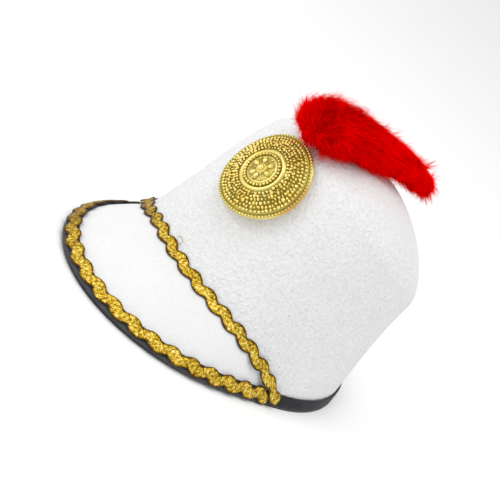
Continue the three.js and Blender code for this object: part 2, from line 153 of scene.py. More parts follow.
def hem_points(phi):
    base = crown_point(phi, height_at(phi, 0.0))
    t = np.clip(np.abs(phi) / rad(PEAK_END), 0.0, 1.0)
    reach = PEAK_REACH * np.power(np.maximum(np.cos(t * math.pi / 2), 0.0), PEAK_POWER)
    r = np.hypot(base[..., 0], base[..., 1])
    edge = base * ((r + reach) / r)[..., None]
    edge[..., 2] = 0.0
    up = crown_point(phi, join_height(phi))
    flat = np.hypot(up[..., 0] - edge[..., 0], up[..., 1] - edge[..., 1])
    cosine = flat / np.hypot(flat, up[..., 2])
    edge[..., 2] = np.where(reach < 1e-6, 0.0, np.maximum(0.0, 3.35 * cosine - 0.4) * smooth(reach / 4.0))
    return edge


# The outer surface as a table of columns, each measured in mm up from the hem.
D_STEP, D_LOW, D_HIGH = 0.5, -2.0, 88.0
D_GRID = np.arange(D_LOW, D_HIGH + 0.01, D_STEP)
N_PHI = 1440
PHI_GRID = rad(np.arange(N_PHI) * 360.0 / N_PHI - 180.0)


def _make_columns():
    hem = hem_points(PHI_GRID)
    start_low = height_at(PHI_GRID, 0.0)
    start_join = join_height(PHI_GRID)
    up = crown_point(PHI_GRID, start_join)
    table = np.empty((N_PHI, len(D_GRID), 3))
    joins = np.zeros(N_PHI)
    for i, phi in enumerate(PHI_GRID):
        rows = [hem[i]]
        start = start_low[i]
        steps = 0
        if abs(phi) < rad(PEAK_END) and up[i, 2] > 2.5:
            rise = up[i] - hem[i]
            length = np.linalg.norm(rise)
            bow = PEAK_CAMBER * smooth((length - 15.0) / 30.0)
            out = np.array([math.sin(phi), -math.cos(phi), 0.0])
            lift = unit(out - rise * (out @ rise) / (rise @ rise))
            steps = 24
            for k in range(1, steps + 1):
                t = k / steps
                rows.append(hem[i] + rise * t + lift * (bow * 4 * t * (1 - t)))
            start = start_join[i]
        h = start + np.arange(1, 61) * 1.2
        rows = np.vstack([np.array(rows), crown_point(np.full(60, phi), h)])
        dist = np.concatenate([[0.0], np.cumsum(np.linalg.norm(np.diff(rows, axis=0), axis=1))])
        joins[i] = dist[steps] if steps else 0.0
        for k in range(3):
            table[i, :, k] = np.interp(D_GRID, dist, rows[:, k])
        low = D_GRID < 0
        table[i, low] = rows[0] + unit(rows[1] - rows[0]) * D_GRID[low][:, None]
    return table, joins


COLUMNS, JOINS = _make_columns()


def surface(phi, d):
    phi, d = np.broadcast_arrays(np.asarray(phi, float), np.asarray(d, float))
    x = (phi + math.pi) / (2 * math.pi) * N_PHI
    i = np.floor(x).astype(int)
    fx = (x - i)[..., None]
    y = np.clip((d - D_LOW) / D_STEP, 0, len(D_GRID) - 1.001)
    j = np.floor(y).astype(int)
    fy = (y - j)[..., None]
    a, b = i % N_PHI, (i + 1) % N_PHI
    return (
        COLUMNS[a, j] * (1 - fx) * (1 - fy)
        + COLUMNS[b, j] * fx * (1 - fy)
        + COLUMNS[a, j + 1] * (1 - fx) * fy
        + COLUMNS[b, j + 1] * fx * fy
    )


def surface_normal(phi, d, spread=2.5):
    e = rad(0.8)
    a = surface(phi + e, d) - surface(phi - e, d)
    b = surface(phi, d + spread) - surface(phi, np.maximum(d - spread, 0.0))
    return unit(np.cross(a, b))


def join_at(phi):
    """Distance from the hem to the line where peak meets crown; past the peak, down to the hem."""
    x = (np.asarray(phi, float) + math.pi) / (2 * math.pi) * N_PHI
    i = np.floor(x).astype(int)
    f = x - i
    past = np.maximum(crown_point(phi, join_height(phi))[..., 2], 0.5) * 1.02
    a, b = JOINS[i % N_PHI], JOINS[(i + 1) % N_PHI]
    inside = (a > 0) & (b > 0)
    return np.where(inside, a * (1 - f) + b * f, past)


# How far a point stands outside the crown, along the ray from a point inside it.
CORE = (crown_point(0.0, 55.0) + crown_point(math.pi, 55.0)) / 2.0


def outside_section(p):
    y = p[..., 1] * COS - p[..., 2] * SIN
    h = p[..., 1] * SIN + p[..., 2] * COS
    w = np.maximum(half_width(np.minimum(h, TOP - 1e-3)), 1e-3)
    depth = w * 1.16 + 4.03 * np.minimum(1.0, w / 60.0)
    t = np.clip((h - 60.0) / (TOP - 60.0), 0.0, 1.0)
    centre = -0.3107 * h + 26.15 * t * t
    return np.where(h >= TOP, 2.0, np.hypot(p[..., 0] / w, (y - centre) / depth))


def clearance(p):
    ray = p - CORE
    length = np.linalg.norm(ray, axis=-1)
    direction = ray / length[..., None]
    lo, hi = np.full(length.shape, 10.0), np.full(length.shape, 200.0)
    for _ in range(30):
        mid = (lo + hi) / 2.0
        inside = outside_section(CORE + direction * mid[..., None]) < 1.0
        lo, hi = np.where(inside, mid, lo), np.where(inside, hi, mid)
    return length - (lo + hi) / 2.0, direction


def push_out(p, gap):
    clear, direction = clearance(p)
    return p + direction * np.maximum(gap - clear, 0.0)[..., None]


# ================================================================= meshes
def make_object(name, points, faces, material, replaces=(), flat=False, attributes=None, stage=False):
    """faces is a list of int arrays, each (n, sides)."""
    mesh = bpy.data.meshes.new(name)
    points = np.asarray(points, float).reshape(-1, 3)
    co = points.copy()
    if not stage:
        co[:, 0] += MOVE_X
        co[:, 1] += MOVE_Y
        co *= MM
    mesh.vertices.add(len(co))
    mesh.vertices.foreach_set("co", co.astype(np.float32).ravel())
    loops, totals = [], []
    for f in faces:
        f = np.asarray(f, np.int32)
        loops.append(f.ravel())
        totals.append(np.full(len(f), f.shape[1], np.int32))
    loops, totals = np.concatenate(loops), np.concatenate(totals)
    mesh.loops.add(len(loops))
    mesh.loops.foreach_set("vertex_index", loops)
    mesh.polygons.add(len(totals))
    mesh.polygons.foreach_set("loop_start", (np.cumsum(totals) - totals).astype(np.int32))
    mesh.polygons.foreach_set("loop_total", totals)
    mesh.update(calc_edges=True)
    mesh.validate()
    if not flat:
        mesh.polygons.foreach_set("use_smooth", np.ones(len(mesh.polygons), bool))
    for key, values in (attributes or {}).items():
        layer = mesh.attributes.new(key, "FLOAT", "POINT")
        layer.data.foreach_set("value", np.asarray(values, np.float32).ravel())
    obj = bpy.data.objects.new(name, mesh)
    bpy.context.scene.collection.objects.link(obj)
    mesh.materials.append(material)
    if stage:
        return obj
    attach(obj, "root")
    if replaces:
        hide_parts(*replaces)
    return obj


def grid_faces(rows, cols, wrap=False, start=0, flip=False):
    """Quads of a rows x cols grid of points; wrap closes it across the columns."""
    i, j = np.meshgrid(np.arange(rows - 1), np.arange(cols if wrap else cols - 1), indexing="ij")
    j2 = (j + 1) % cols
    f = np.stack([i * cols + j, i * cols + j2, (i + 1) * cols + j2, (i + 1) * cols + j], -1).reshape(-1, 4) + start
    return f[:, ::-1] if flip else f


def tubes(P, N, a, b, sides=6, phase=0.0):
    """Closed tubes through P (k, m, 3), with an oval section a wide across the normal N and b high along it."""
    k, m, _ = P.shape
    T = unit(np.gradient(P, axis=1))
    B = unit(np.cross(T, N))
    N2 = np.cross(B, T)
    t = np.arange(sides) * 2 * math.pi / sides + phase
    a = np.broadcast_to(np.asarray(a, float), (k, m))[..., None, None]
    b = np.broadcast_to(np.asarray(b, float), (k, m))[..., None, None]
    V = P[:, :, None] + B[:, :, None] * a * np.cos(t)[None, None, :, None] + N2[:, :, None] * b * np.sin(t)[None, None, :, None]
    base = grid_faces(m, sides, wrap=True)
    offset = (np.arange(k) * m * sides)[:, None, None]
    quads = (base[None] + offset).reshape(-1, 4)
    first = np.arange(sides)[::-1]
    last = (m - 1) * sides + np.arange(sides)
    caps = np.concatenate([first[None] + offset[:, 0], last[None] + offset[:, 0]])
    return V.reshape(-1, 3), [quads, caps]


# ================================================================= materials
def new_material(name):
    m = bpy.data.materials.new(name)
    m.use_nodes = True
    nt = m.node_tree
    nt.nodes.clear()
    out = nt.nodes.new("ShaderNodeOutputMaterial")
    shader = nt.nodes.new("ShaderNodeBsdfPrincipled")
    nt.links.new(shader.outputs["BSDF"], out.inputs["Surface"])
    coords = nt.nodes.new("ShaderNodeTexCoord")
    return m, nt, shader, coords.outputs["Object"]


def constants(shader, **values):
    for key, value in values.items():
        shader.inputs[key.replace("_", " ")].default_value = value


def noise_node(nt, coords, size_mm, detail=2.0, rough=0.5, distortion=0.0):
    n = nt.nodes.new("ShaderNodeTexNoise")
    n.inputs["Scale"].default_value = 1.0 / (size_mm * MM)
    n.inputs["Detail"].default_value = detail
    n.inputs["Roughness"].default_value = rough
    n.inputs["Distortion"].default_value = distortion
    nt.links.new(coords, n.inputs["Vector"])
    return n.outputs["Fac"]


def voronoi_node(nt, coords, size_mm, feature="F1"):
    n = nt.nodes.new("ShaderNodeTexVoronoi")
    n.feature = feature
    n.inputs["Scale"].default_value = 1.0 / (size_mm * MM)
    nt.links.new(coords, n.inputs["Vector"])
    return n.outputs["Distance"]


def ramp_node(nt, fac, stops):
    n = nt.nodes.new("ShaderNodeValToRGB")
    ramp = n.color_ramp
    while len(ramp.elements) < len(stops):
        ramp.elements.new(0.5)
    for element, (at, colour) in zip(ramp.elements, stops):
        element.position = at
        element.color = (*colour, 1.0) if len(colour) == 3 else colour
    nt.links.new(fac, n.inputs["Fac"])
    return n.outputs["Color"]


def math_node(nt, op, a, b=None):
    n = nt.nodes.new("ShaderNodeMath")
    n.operation = op
    for socket, value in zip(n.inputs, (a, b)):
        if value is None:
            continue
        if isinstance(value, (int, float)):
            socket.default_value = value
        else:
            nt.links.new(value, socket)
    return n.outputs[0]


def range_node(nt, value, lo, hi, to_lo, to_hi):
    n = nt.nodes.new("ShaderNodeMapRange")
    for key, v in zip(("From Min", "From Max", "To Min", "To Max"), (lo, hi, to_lo, to_hi)):
        n.inputs[key].default_value = v
    nt.links.new(value, n.inputs["Value"])
    return n.outputs["Result"]


def mix_node(nt, fac, a, b, blend="MIX"):
    n = nt.nodes.new("ShaderNodeMix")
    n.data_type = "RGBA"
    n.blend_type = blend
    for socket, value in ((n.inputs[0], fac), (n.inputs[6], a), (n.inputs[7], b)):
        if isinstance(value, (int, float)):
            socket.default_value = value
        elif isinstance(value, tuple):
            socket.default_value = (*value, 1.0)
        else:
            nt.links.new(value, socket)
    return n.outputs[2]


def bump_node(nt, height, strength, distance_mm, normal=None):
    n = nt.nodes.new("ShaderNodeBump")
    n.inputs["Strength"].default_value = strength
    n.inputs["Distance"].default_value = distance_mm * MM
    nt.links.new(height, n.inputs["Height"])
    if normal is not None:
        nt.links.new(normal, n.inputs["Normal"])
    return n.outputs["Normal"]


def attribute_node(nt, name):
    n = nt.nodes.new("ShaderNodeAttribute")
    n.attribute_name = name
    return n.outputs["Fac"]


def felt_material(name, light, dark, pebble_mm, pebble, fibre):
    m, nt, shader, co = new_material(name)
    broad = noise_node(nt, co, 26.0, 3.0, 0.55)
    fine = noise_node(nt, co, 0.9, 4.0, 0.65, 0.6)
    pebbles = noise_node(nt, co, pebble_mm, 2.0, 0.5, 0.4)
    base = ramp_node(nt, broad, [(0.3, dark), (0.7, light)])
    # painted shade: the colour is darkened in the hollows of the fine grain and of the pebbles
    pit_painted_shade = range_node(nt, fine, 0.30, 0.55, 0.94, 1.0)
    pit_painted_shade = math_node(nt, "MULTIPLY", pit_painted_shade, range_node(nt, pebbles, 0.32, 0.60, 1.0 - 0.10 * pebble, 1.0))
    pit_shade_colour = nt.nodes.new("ShaderNodeCombineColor")
    for k in range(3):
        nt.links.new(pit_painted_shade, pit_shade_colour.inputs[k])
    nt.links.new(mix_node(nt, 1.0, base, pit_shade_colour.outputs[0], "MULTIPLY"), shader.inputs["Base Color"])
    nt.links.new(range_node(nt, fine, 0.3, 0.7, 0.98, 0.86), shader.inputs["Roughness"])
    n1 = bump_node(nt, pebbles, pebble, 1.3)
    n2 = bump_node(nt, noise_node(nt, co, 0.45, 3.0, 0.6, 1.2), fibre, 0.14, n1)
    nt.links.new(n2, shader.inputs["Normal"])
    constants(shader, Sheen_Weight=0.10, Sheen_Roughness=0.6, Specular_IOR_Level=0.15)
    return m


def binding_material():
    m, nt, shader, co = new_material("black_bias_tape")
    weave = noise_node(nt, co, 0.5, 3.0, 0.6)
    broad = noise_node(nt, co, 9.0, 2.0, 0.5)
    base = ramp_node(nt, broad, [(0.3, (0.006, 0.007, 0.011)), (0.7, (0.014, 0.015, 0.021))])
    # painted sheen: the edge attribute lightens the black to grey on the rolled edge and along the creases
    painted_sheen = attribute_node(nt, "edge")
    nt.links.new(mix_node(nt, painted_sheen, base, (0.06, 0.062, 0.068)), shader.inputs["Base Color"])
    nt.links.new(range_node(nt, weave, 0.3, 0.7, 0.50, 0.70), shader.inputs["Roughness"])
    thread = nt.nodes.new("ShaderNodeTexWave")
    thread.wave_type = "BANDS"
    thread.bands_direction = "DIAGONAL"
    thread.inputs["Scale"].default_value = 700.0
    thread.inputs["Distortion"].default_value = 1.5
    nt.links.new(co, thread.inputs["Vector"])
    n1 = bump_node(nt, thread.outputs["Fac"], 0.35, 0.08)
    nt.links.new(bump_node(nt, weave, 0.4, 0.10, n1), shader.inputs["Normal"])
    constants(shader, Sheen_Weight=0.04, Sheen_Roughness=0.4, Specular_IOR_Level=0.22)
    return m


def braid_material():
    m, nt, shader, co = new_material("gold_lame_yarn")
    glint = noise_node(nt, co, 1.1, 3.0, 0.70, 0.8)
    broad = noise_node(nt, co, 7.0, 2.0, 0.5)
    # the attribute holds each yarn's tone, with painted shade along the braid's edges and a painted darker reflection
    # on the wearer's right
    tone_and_painted_shade = attribute_node(nt, "tone_and_painted_shade")
    value = math_node(nt, "ADD", range_node(nt, glint, 0.30, 0.70, 0.02, 0.62), math_node(nt, "MULTIPLY", tone_and_painted_shade, 0.50))
    value = math_node(nt, "ADD", value, range_node(nt, broad, 0.3, 0.7, -0.06, 0.06))
    base = ramp_node(
        nt,
        value,
        [
            (0.18, (0.070, 0.030, 0.002)),
            (0.38, (0.26, 0.135, 0.006)),
            (0.58, (0.55, 0.35, 0.020)),
            (0.78, (0.95, 0.70, 0.09)),
            (0.95, (1.0, 0.94, 0.50)),
        ],
    )
    nt.links.new(base, shader.inputs["Base Color"])
    nt.links.new(range_node(nt, glint, 0.3, 0.7, 0.42, 0.26), shader.inputs["Roughness"])
    nt.links.new(bump_node(nt, noise_node(nt, co, 0.4, 2.0, 0.6), 0.8, 0.12), shader.inputs["Normal"])
    constants(shader, Metallic=0.9)
    return m


# a dark under-layer for the braids: painted shade that shows between the yarns
def braid_shade_layer_material():
    m, nt, shader, co = new_material("braid_painted_shade_layer")
    fine = noise_node(nt, co, 0.5, 3.0, 0.6)
    nt.links.new(ramp_node(nt, fine, [(0.3, (0.035, 0.026, 0.012)), (0.7, (0.12, 0.08, 0.03))]), shader.inputs["Base Color"])
    nt.links.new(bump_node(nt, fine, 0.6, 0.15), shader.inputs["Normal"])
    nt.links.new(range_node(nt, fine, 0.3, 0.7, 0.6, 0.8), shader.inputs["Roughness"])
    return m


def badge_material():
    m, nt, shader, co = new_material("gold_plate")
    recess = attribute_node(nt, "recess")
    grain = noise_node(nt, co, 1.2, 3.0, 0.6)
    broad = noise_node(nt, co, 11.0, 2.0, 0.5)
    gold = ramp_node(nt, broad, [(0.30, (0.86, 0.65, 0.15)), (0.55, (0.98, 0.80, 0.27)), (0.75, (0.92, 0.76, 0.26))])
    # painted reflection: the right rim is mixed towards orange
    gold = mix_node(nt, math_node(nt, "MULTIPLY", attribute_node(nt, "right_rim_reflection"), 0.6), gold, (0.78, 0.34, 0.10))
    dark = mix_node(nt, grain, (0.085, 0.075, 0.006), (0.28, 0.23, 0.025))
    deep = math_node(nt, "MULTIPLY", recess, range_node(nt, grain, 0.25, 0.6, 0.7, 1.0))
    nt.links.new(mix_node(nt, deep, gold, dark), shader.inputs["Base Color"])
    nt.links.new(range_node(nt, deep, 0.0, 1.0, 0.24, 0.55), shader.inputs["Roughness"])
    nt.links.new(bump_node(nt, grain, 0.25, 0.08), shader.inputs["Normal"])
    constants(shader, Metallic=1.0)
    return m


def plume_material(name, dark, mid, light):
    m, nt, shader, co = new_material(name)
    streak = noise_node(nt, co, 5.0, 3.0, 0.6)
    # the attribute holds each strand's own tone together with painted shade
    tone_and_painted_shade = attribute_node(nt, "tone_and_painted_shade")
    value = math_node(nt, "ADD", math_node(nt, "MULTIPLY", streak, 0.55), math_node(nt, "MULTIPLY", tone_and_painted_shade, 0.45))
    nt.links.new(ramp_node(nt, value, [(0.22, dark), (0.5, mid), (0.8, light)]), shader.inputs["Base Color"])
    fine = noise_node(nt, co, 0.6, 2.0, 0.6)
    nt.links.new(range_node(nt, fine, 0.3, 0.7, 0.60, 0.85), shader.inputs["Roughness"])
    nt.links.new(bump_node(nt, fine, 0.3, 0.1), shader.inputs["Normal"])
    constants(shader, Specular_IOR_Level=0.0)
    return m


def thread_material(name, dark, light):
    m, nt, shader, co = new_material(name)
    grain = noise_node(nt, co, 0.3, 2.0, 0.6)
    nt.links.new(ramp_node(nt, grain, [(0.3, dark), (0.7, light)]), shader.inputs["Base Color"])
    nt.links.new(bump_node(nt, grain, 0.5, 0.1), shader.inputs["Normal"])
    nt.links.new(range_node(nt, grain, 0.3, 0.7, 0.6, 0.8), shader.inputs["Roughness"])
    return m


CROWN_FELT = felt_material("crown_felt", (0.835, 0.84, 0.84), (0.812, 0.817, 0.819), 2.1, 0.95, 0.40)
PEAK_FELT = felt_material("peak_felt", (0.805, 0.807, 0.807), (0.785, 0.787, 0.787), 2.8, 0.28, 0.25)
BINDING = binding_material()
LAME = braid_material()
BRAID_SHADE_LAYER = braid_shade_layer_material()
PLATE = badge_material()
BARBS = plume_material("plume_barbs", (0.32, 0.0, 0.0), (0.76, 0.0, 0.0), (0.97, 0.0, 0.0))
DOWN = plume_material("plume_down", (0.54, 0.0, 0.0), (0.86, 0.0, 0.0), (1.0, 0.0, 0.0))
# painted shade: the plume's inner layer is a darker red than its barbs
PLUME_SHADE_CORE = plume_material("plume_core_painted_shade", (0.14, 0.0, 0.0), (0.30, 0.0, 0.0), (0.42, 0.0, 0.0))
BLACK_THREAD = thread_material("black_thread", (0.008, 0.008, 0.010), (0.035, 0.035, 0.04))


# ================================================================= crown
def build_crown():
    cols, wall, dome = 440, 92, 50
    deg = np.arange(cols) * 360.0 / cols - 180.0
    phi = rad(deg)
    h0 = np.where(np.abs(deg) < PEAK_SIDE_END, join_height(phi) + GAP * 0.6, height_at(phi, HEM_INSET))

    def layer(n_wall, n_dome, inner):
        rows = []
        for i in range(n_wall):
            rows.append(h0 + (SHOULDER - h0) * i / n_wall)
        for i in range(n_dome):
            rows.append(np.full(cols, SHOULDER + (TOP - SHOULDER) * math.sin(i / n_dome * math.pi / 2)))
        h = np.array(rows)
        p = crown_point(phi[None], h)
        n = crown_normal(np.broadcast_to(phi, h.shape), h)
        apex = crown_point(0.0, TOP)
        up = unit(n[-1].mean(0))
        # moulded felt is never quite even
        keep = smooth((h - h0 - 3.0) / 14.0)
        wave = 0.17 * noise(p, 34.0, 1) + 0.07 * noise(p, 11.0, 2) + 0.055 * noise(p, 3.4, 3) + 0.03 * noise(p, 1.7, 4)
        if inner:
            wave = wave * 0.6 + 0.10 * noise(p, 5.0, 9)
            p = p - n * FELT
            apex = apex - up * FELT
        p = p + n * (wave * keep)[..., None]
        return p.reshape(-1, 3), apex, len(rows)

    outer, top, n_out = layer(wall, dome, False)
    inner, under, n_in = layer(30, 16, True)
    points = np.vstack([outer, inner, top[None], under[None]])
    first_in = len(outer)
    t, u = len(points) - 2, len(points) - 1
    faces = [grid_faces(n_out, cols, True), grid_faces(n_in, cols, True, first_in, True)]
    j = np.arange(cols)
    j2 = (j + 1) % cols
    last = (n_out - 1) * cols
    last_in = first_in + (n_in - 1) * cols
    faces.append(np.stack([last + j, last + j2, np.full(cols, t)], -1))
    faces.append(np.stack([last_in + j2, last_in + j, np.full(cols, u)], -1))
    faces.append(np.stack([j2, j, first_in + j, first_in + j2], -1))
    return make_object("crown_felt", points, faces, CROWN_FELT, ["crown"])


# ================================================================= peak
def build_peak():
    end = PEAK_SIDE_END - 0.7
    cols, rows = 420, 34
    phi = rad(np.linspace(-end, end, cols))
    join = join_at(phi)
    t = np.linspace(0.0, 1.0, rows)[:, None]
    d = HEM_INSET + (join[None] - GAP - HEM_INSET) * t
    pp = np.broadcast_to(phi, d.shape)
    n = surface_normal(pp, np.minimum(d, join[None] - 2.2), 2.0)
    p = surface(pp, d)
    keep = smooth((d - 8.0) / 8.0) * smooth((join[None] - d) / 4.0)
    wave = 0.22 * noise(p, 30.0, 21) + 0.06 * noise(p, 9.0, 22) + 0.02 * noise(p, 2.4, 23)
    top = p + n * (wave * keep)[..., None]
    under = p - n * FELT + n * (0.8 * wave * keep)[..., None]
    ring = np.concatenate([top, under[::-1]], 0)  # rows run over the top and back below
    k = ring.shape[0]
    pts = ring.transpose(1, 0, 2).reshape(-1, 3)
    faces = [grid_faces(cols, k, True, 0, True)]
    ends = [np.arange(k)[None], (np.arange(k) + (cols - 1) * k)[::-1][None]]
    return make_object("peak_felt", pts, faces + ends, PEAK_FELT, ["peak"])


# ================================================================= edge binding
def hem_arc(d=0.0):
    p = surface(PHI_GRID, np.full(N_PHI, d))
    step = np.linalg.norm(np.roll(p, -1, axis=0) - p, axis=1)
    return np.concatenate([[0.0], np.cumsum(step)])


def build_binding():
    stations = 940
    arc = hem_arc()
    s = np.arange(stations) / stations * arc[-1]
    phi = np.interp(s, arc, np.append(PHI_GRID, math.pi))
    out, inn = GAP + BIND_THICK, -(FELT + GAP + BIND_THICK)
    # section: d up from the hem, n out from the felt, w how much of the pucker it takes, e painted sheen
    rows = [
        (12.72, 0.42, 0.5, 0.0), (13.0, 0.75, 0.6, 0.2), (13.02, 1.12, 0.6, 0.35), (12.7, 1.42, 0.6, 0.35),
        (12.1, out, 0.7, 0.1), (11.5, out - 0.10, 1.0, 0.0), (11.1, out - 0.20, 1.2, 0.0), (10.7, out - 0.11, 1.0, 0.0),
        (10.0, out + 0.02, 0.8, 0.0), (9.0, out + 0.04, 0.6, 0.0), (8.1, out + 0.03, 0.5, 0.0), (7.5, out - 0.04, 0.5, 0.0),
        (7.1, out - 0.12, 0.4, 0.0), (6.6, out - 0.08, 0.4, 0.0), (5.6, out - 0.01, 0.3, 0.0), (4.6, out + 0.0, 0.3, 0.0),
        (4.1, out - 0.07, 0.3, 0.0), (3.6, out - 0.02, 0.3, 0.05), (2.6, out + 0.02, 0.2, 0.2), (1.5, out, 0.1, 0.5),
        (0.6, out - 0.06, 0.1, 0.9), (-0.1, out - 0.30, 0.0, 1.0), (-0.55, out - 0.65, 0.0, 0.9), (-0.8, out - 1.2, 0.0, 0.6),
        (-0.8, 0.0, 0.0, 0.3), (-0.8, inn + 1.2, 0.0, 0.3), (-0.55, inn + 0.6, 0.0, 0.4), (0.0, inn + 0.2, 0.0, 0.4),
        (0.8, inn + 0.02, 0.1, 0.2), (2.5, inn, 0.3, 0.0), (4.5, inn, 0.4, 0.0), (5.6, inn + 0.08, 0.4, 0.0),
        (6.2, inn + 0.1, 0.4, 0.0), (7.2, inn, 0.5, 0.0), (8.8, inn + 0.04, 0.9, 0.0), (9.5, inn + 0.18, 1.1, 0.0),
        (10.0, inn + 0.06, 0.9, 0.0), (10.7, inn + 0.05, 0.7, 0.2), (11.0, inn + 0.4, 0.6, 0.3), (11.0, inn + 0.85, 0.5, 0.2),
        (10.7, inn + 1.1, 0.3, 0.0), (8.0, inn + BIND_THICK, 0.0, 0.0), (4.0, inn + BIND_THICK, 0.0, 0.0),
        (1.5, inn + BIND_THICK, 0.0, 0.0), (1.5, GAP, 0.0, 0.0), (4.0, GAP, 0.0, 0.0), (8.0, GAP, 0.0, 0.0), (12.0, GAP, 0.0, 0.0),
    ]
    d, n, w, e = (np.array(c)[None] for c in zip(*rows))
    d = np.where(d > 1.6, 1.6 + (d - 1.6) * np.where(n > -1.0, (BIND_WIDTH - 1.6) / 11.4, (BIND_INSIDE - 1.6) / 9.4), d)
    pp = phi[:, None] + 0 * d
    dd = d + 0 * pp
    p = surface(pp, dd)
    normal = surface_normal(pp, np.maximum(dd, 0.0), 4.0)
    # stitches pull the tape into small puckers, and its fold wanders a little
    ss = s[:, None] + 0 * d
    pucker = 0.075 * np.cos(2 * math.pi * ss / 3.2 + 1.3 * noise(p, 40.0, 31)) * w
    wander = 0.09 * noise(np.stack([ss, dd * 3.0, 0 * dd], -1), 9.0, 32) * np.clip(w * 1.5, 0, 1)
    p = p + normal * (n + (pucker + wander) * (dd > 0.6))[..., None]
    side = unit(surface(pp, dd + 1.0) - surface(pp, dd))
    p = p + side * (0.14 * noise(np.stack([ss, 0 * dd, 0 * dd], -1), 6.0, 33) * (d > 8.2))[..., None]
    p[..., 2] = np.where(p[..., 2] < 0.05, 0.0, p[..., 2])
    k = len(rows)
    # painted sheen: the rolled edge of the tape is made lighter grey
    painted_sheen = np.clip(e + 0.25 * noise(p, 3.0, 35) * (e > 0), 0, 1)
    # creases where the tape was folded catch the light
    crease = np.exp(-((d - 7.9) ** 2) / 0.10) + 0.8 * np.exp(-((d - 3.6) ** 2) / 0.08) + 0.5 * np.exp(-((d - 5.6) ** 2) / 0.06)
    painted_sheen = np.clip(painted_sheen + 0.45 * crease * (n > 0) * (0.6 + 0.4 * noise(np.stack([ss, dd, 0 * dd], -1), 14.0, 36)), 0, 1)
    return make_object(
        "edge_binding_tape", p, [_loop_faces(stations, k)],
        BINDING, ["edge_binding"], attributes={"edge": painted_sheen},
    )


def _loop_faces(rings, n):
    i, j = np.meshgrid(np.arange(rings), np.arange(n), indexing="ij")
    i2, j2 = (i + 1) % rings, (j + 1) % n
    return np.stack([i * n + j, i2 * n + j, i2 * n + j2, i * n + j2], -1).reshape(-1, 4)


def build_stitches():
    """The binding's seam: outside behind the braid's ends, inside all the way round."""
    arc = hem_arc()
    angles = np.append(PHI_GRID, math.pi)
    count = int(arc[-1] / 3.2)
    mid = (np.arange(count) + 0.5) * arc[-1] / count
    out, inn = GAP + BIND_THICK, -(FELT + GAP + BIND_THICK)
    along = np.linspace(-1.15, 1.15, 5)
    lift = np.array([-0.22, 0.05, 0.12, 0.05, -0.22])
    parts = []
    for d0, n0, sign, keep in (
        (8.6, out - 0.16, 1.0, lambda a: np.abs(a) > rad(75.0)),
        (7.8, inn + 0.14, -1.0, lambda a: np.abs(a) >= 0.0),
    ):
        s = mid[:, None] + along[None]
        phi = np.interp(s % arc[-1], arc, angles)
        keep_rows = keep(phi[:, 2]) & (np.abs(np.diff(phi, axis=1)).max(1) < 1.0)
        phi = phi[keep_rows]
        d = d0 + 0.06 * noise(np.stack([phi * 90, 0 * phi, 0 * phi], -1), 5.0, 41)
        normal = surface_normal(phi, d, 4.0)
        p = surface(phi, d) + normal * (n0 + sign * lift[None])[..., None]
        parts.append((p, normal))
    P = np.concatenate([q[0] for q in parts])
    N = np.concatenate([q[1] for q in parts])
    r = np.array([0.10, 0.21, 0.23, 0.21, 0.10])[None]
    V, faces = tubes(P, N, r, r, 6)
    return make_object("binding_stitches", V, faces, BLACK_THREAD)


# ================================================================= ric-rac braid
class Braid:
    WIDTH, THICK, SWING, LOWEST = 8.8, 1.0, 1.5, 0.6

    def __init__(self, end_deg, period, shift, line_at, rise_at):
        self.line_at, self.rise_at, self.shift = line_at, rise_at, shift
        self.phis = rad(np.linspace(-end_deg, end_deg, 1441))
        p = surface(self.phis, line_at(self.phis))
        self.arc = np.concatenate([[0.0], np.cumsum(np.linalg.norm(np.diff(p, axis=0), axis=1))])
        self.length = self.arc[-1]
        self.waves = round(self.length / period)

    def place(self, s, half, lift):
        """A point of the braid: s along its line, half across the braid itself, lift above the felt."""
        turn = 2 * math.pi * (self.waves * (s / self.length - 0.5) + self.shift)
        across = self.SWING * np.cos(turn)
        slope = -self.SWING * np.sin(turn) * 2 * math.pi * self.waves / self.length
        k = 1.0 / np.hypot(1.0, slope)
        phi = np.interp(np.clip(s - half * slope * k, 0, self.length), self.arc, self.phis)
        d = self.line_at(phi) + across + half * k
        normal = surface_normal(phi, np.maximum(d, 0.5), 4.0)
        p = surface(phi, d) + normal * (self.rise_at(phi, d) + lift)[..., None]
        p[..., 2] = np.maximum(p[..., 2], self.LOWEST + np.clip(lift, 0, 1) * 0.0)
        return p, normal


